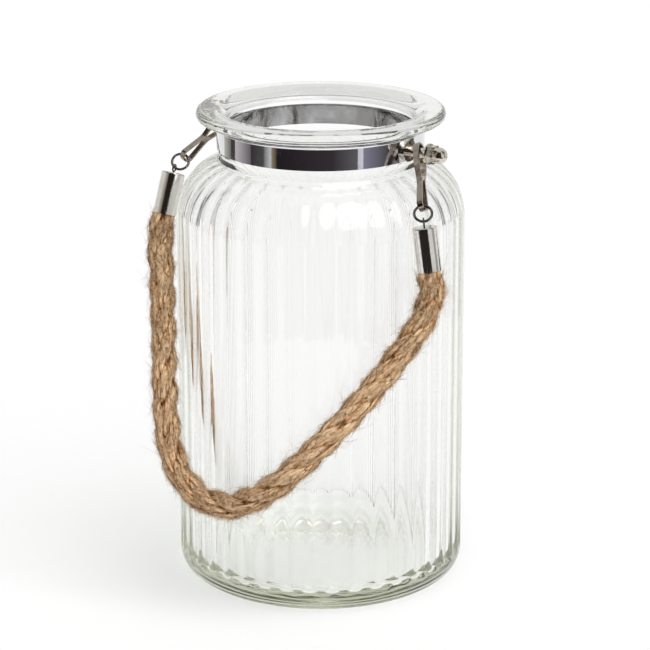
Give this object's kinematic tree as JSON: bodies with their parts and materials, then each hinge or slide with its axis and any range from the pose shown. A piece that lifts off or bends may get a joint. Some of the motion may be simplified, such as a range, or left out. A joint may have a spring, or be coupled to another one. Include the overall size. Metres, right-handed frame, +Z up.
{
  "type": "mason jar lantern",
  "caption": "Clear fluted glass jar lantern with a chromed neck band, side studs with swivel straps and rings, and a natural rope handle that swings over the mouth.",
  "frame": {"origin": "middle of the jar's foot, on the surface it stands on", "axes": "+Z up along the jar's axis, +X along the stud axis towards the right stud, -Y towards the side where the handle rests"},
  "size_m": [0.1612, 0.1566, 0.2345],
  "materials": {
    "glass": "clear, fire polished",
    "chrome": "mirror polished",
    "nickel": "bright nickel plate",
    "rope": "natural three-strand laid jute"
  },
  "bodies": {
    "lantern": {"glass_jar": "glass", "neck_band": "chrome", "stud_left": "nickel", "stud_right": "nickel", "spacer_sleeve_left": "nickel", "spacer_sleeve_right": "nickel", "retaining_washer_left": "nickel", "retaining_washer_right": "nickel", "dome_nut_left": "nickel", "dome_nut_right": "nickel"},
    "strap_left": {"strap_left": "nickel"},
    "strap_right": {"strap_right": "nickel"},
    "rings": {"ring_left": "nickel", "ring_right": "nickel"},
    "handle": {"eye_left": "nickel", "eye_right": "nickel", "ferrule_left": "chrome", "ferrule_right": "chrome", "rope": "rope"}
  },
  "joints": [
    {"name": "strap_left_swing", "type": "hinge", "parent": "lantern", "child": "strap_left", "pos_m": [0, 0, 0.21995], "axis": [-1, 0, 0], "range_deg": [0, 200]},
    {"name": "strap_right_swing", "type": "hinge", "parent": "lantern", "child": "strap_right", "pos_m": [0, 0, 0.21995], "axis": [-1, 0, 0], "range_deg": [0, 200]},
    {"name": "rings_swing", "type": "hinge", "parent": "strap_left", "child": "rings", "pos_m": [-0.06781, -0.01941, 0.20407], "axis": [-0.9989, -0.0303, 0.0361], "range_deg": [0, 28]},
    {"name": "handle_swing", "type": "hinge", "parent": "rings", "child": "handle", "pos_m": [-0.07045, -0.0255, 0.19909], "axis": [-0.9983, -0.0406, 0.0418], "range_deg": [0, 35]}
  ],
  "couplings": [
    {"joint": "strap_right_swing", "follows": "strap_left_swing", "ratio": 1}
  ]
}
